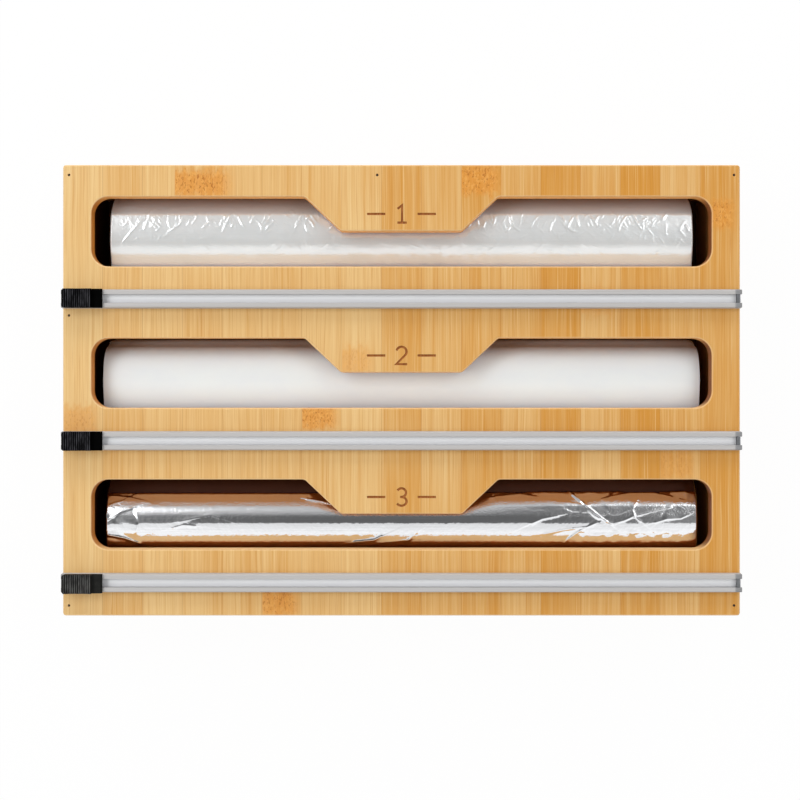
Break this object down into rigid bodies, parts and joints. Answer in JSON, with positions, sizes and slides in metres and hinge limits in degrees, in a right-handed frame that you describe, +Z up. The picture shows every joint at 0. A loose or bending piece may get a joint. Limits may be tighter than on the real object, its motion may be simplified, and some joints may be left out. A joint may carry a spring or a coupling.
{
  "type": "wrap dispenser box",
  "caption": "Flat bamboo drawer box for film, wax paper and foil rolls: windowed panel with label tabs, slide cutters on rails and a drop-down end door.",
  "frame": {"origin": "on the surface the box lies on, under the middle of the box", "axes": "+X along the rolls towards the end door, +Y away from the user towards the rear wall, +Z up out of the window panel"},
  "size_m": [0.335, 0.223, 0.077],
  "materials": {
    "bamboo": "satin lacquered bamboo",
    "steel": "satin",
    "nickel": "nickel plated",
    "tape": "matte",
    "rail": "satin pale grey",
    "grey_plastic": "matte",
    "black_plastic": "matte",
    "card": "plain",
    "film": "clear film in many layers",
    "wax_paper": "waxed",
    "foil": "bright"
  },
  "bodies": {
    "box": {"top_panel": "bamboo", "rear_wall": "bamboo", "front_wall": "bamboo", "left_end_wall": "bamboo", "rear_divider": "bamboo", "front_divider": "bamboo", "base_panel": "bamboo", "brads": "steel", "film_tape": "tape", "film_rail": "rail", "wax_tape": "tape", "wax_rail": "rail", "foil_tape": "tape", "foil_rail": "rail", "rail_stops": "grey_plastic", "hinge_pins": "steel", "divider_magnets": "nickel"},
    "film_cutter": {"film_slider": "black_plastic", "film_blade": "steel"},
    "wax_cutter": {"wax_slider": "black_plastic", "wax_blade": "steel"},
    "foil_cutter": {"foil_slider": "black_plastic", "foil_blade": "steel"},
    "film_roll": {"film_core": "card", "film_wrap": "film"},
    "wax_roll": {"wax_core": "card", "wax_wrap": "wax_paper"},
    "foil_roll": {"foil_core": "card", "foil_wrap": "foil"},
    "door": {"end_door": "bamboo", "door_magnets": "nickel"}
  },
  "joints": [
    {"name": "film_cut", "type": "slide", "parent": "box", "child": "film_cutter", "axis": [1, 0, 0], "range_m": [0, 0.3133]},
    {"name": "wax_cut", "type": "slide", "parent": "box", "child": "wax_cutter", "axis": [1, 0, 0], "range_m": [0, 0.3133]},
    {"name": "foil_cut", "type": "slide", "parent": "box", "child": "foil_cutter", "axis": [1, 0, 0], "range_m": [0, 0.3133]},
    {"name": "film_turn", "type": "hinge", "parent": "box", "child": "film_roll", "pos_m": [0, 0.0749, 0.0323], "axis": [1, 0, 0], "continuous": true},
    {"name": "wax_turn", "type": "hinge", "parent": "box", "child": "wax_roll", "pos_m": [0, 0.0049, 0.0313], "axis": [1, 0, 0], "continuous": true},
    {"name": "foil_turn", "type": "hinge", "parent": "box", "child": "foil_roll", "pos_m": [0, -0.0655, 0.0313], "axis": [1, 0, 0], "continuous": true},
    {"name": "door_hinge", "type": "hinge", "parent": "box", "child": "door", "pos_m": [0.1625, 0, 0.0116], "axis": [0, 1, 0], "range_deg": [0, 90]}
  ]
}
